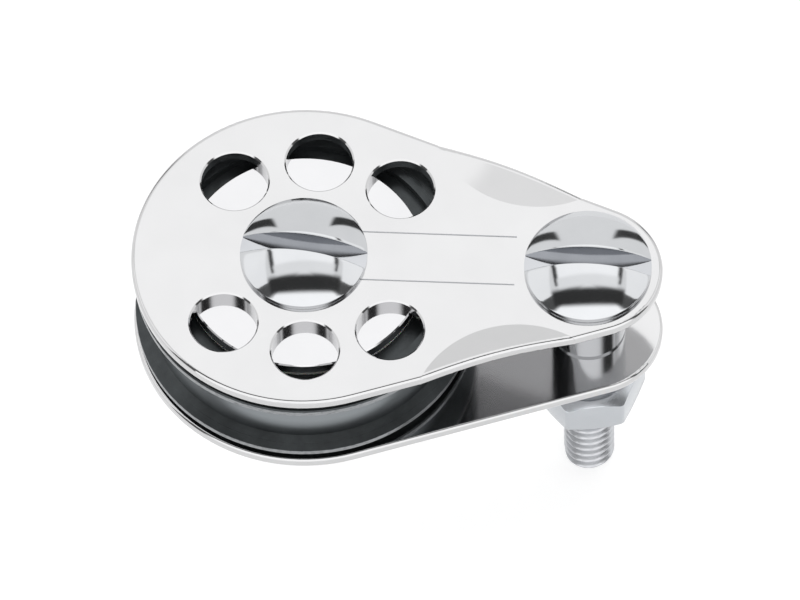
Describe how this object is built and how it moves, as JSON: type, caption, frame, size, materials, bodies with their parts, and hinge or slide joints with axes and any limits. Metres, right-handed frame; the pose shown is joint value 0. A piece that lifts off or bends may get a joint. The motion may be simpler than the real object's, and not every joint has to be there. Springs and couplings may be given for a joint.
{
  "type": "single sheave block",
  "caption": "Small stainless sheave block: two teardrop plates with lightening holes, a grooved ball-bearing sheave, slotted axle screw and a through bolt with spacer and nut at the tail.",
  "frame": {"origin": "on the sheave's axis, midway between the two side plates", "axes": "+X from the sheave's axis to the tail bolt, +Z along the sheave's axis towards the slotted screw heads"},
  "size_m": [0.0505, 0.0328, 0.0364],
  "materials": {
    "plate_steel": "polished stainless sheet",
    "mirror_steel": "mirror polished stainless",
    "fastener_steel": "bright polished stainless",
    "nut_steel": "plain turned stainless",
    "race_steel": "ground bearing race",
    "black_anodised": "satin black hard anodised",
    "ball_acetal": "smooth white acetal",
    "white_acetal": "satin off-white acetal"
  },
  "bodies": {
    "frame": {"upper_side_plate": "plate_steel", "lower_side_plate": "plate_steel", "upper_race_flange": "mirror_steel", "lower_race_flange": "mirror_steel", "inner_race": "race_steel", "upper_thrust_ring": "white_acetal", "lower_thrust_ring": "white_acetal", "axle_screw": "fastener_steel", "axle_barrel_nut": "fastener_steel", "tail_spacer": "fastener_steel"},
    "sheave": {"sheave": "black_anodised"},
    "bearing_balls": {"bearing_ball_01": "ball_acetal", "bearing_ball_02": "ball_acetal", "bearing_ball_03": "ball_acetal", "bearing_ball_04": "ball_acetal", "bearing_ball_05": "ball_acetal", "bearing_ball_06": "ball_acetal", "bearing_ball_07": "ball_acetal", "bearing_ball_08": "ball_acetal", "bearing_ball_09": "ball_acetal", "bearing_ball_10": "ball_acetal", "bearing_ball_11": "ball_acetal", "bearing_ball_12": "ball_acetal", "bearing_ball_13": "ball_acetal"},
    "tail_bolt": {"tail_bolt": "fastener_steel"},
    "tail_nut": {"tail_nut": "nut_steel"}
  },
  "joints": [
    {"name": "sheave_spin", "type": "hinge", "parent": "frame", "child": "sheave", "pos_m": [0, 0, 0], "axis": [0, 0, 1], "continuous": true},
    {"name": "ball_orbit", "type": "hinge", "parent": "frame", "child": "bearing_balls", "pos_m": [0, 0, 0], "axis": [0, 0, 1], "continuous": true},
    {"name": "bolt_turn", "type": "hinge", "parent": "frame", "child": "tail_bolt", "pos_m": [0.027, 0, 0], "axis": [0, 0, 1], "range_deg": [-1800, 3710]},
    {"name": "nut_travel", "type": "slide", "parent": "frame", "child": "tail_nut", "axis": [0, 0, 1], "range_m": [-0.0108, 0.0052]}
  ],
  "couplings": [
    {"joint": "ball_orbit", "follows": "sheave_spin", "ratio": 0.61111},
    {"joint": "bolt_turn", "follows": "nut_travel", "rad_per_m": -5936.9}
  ]
}
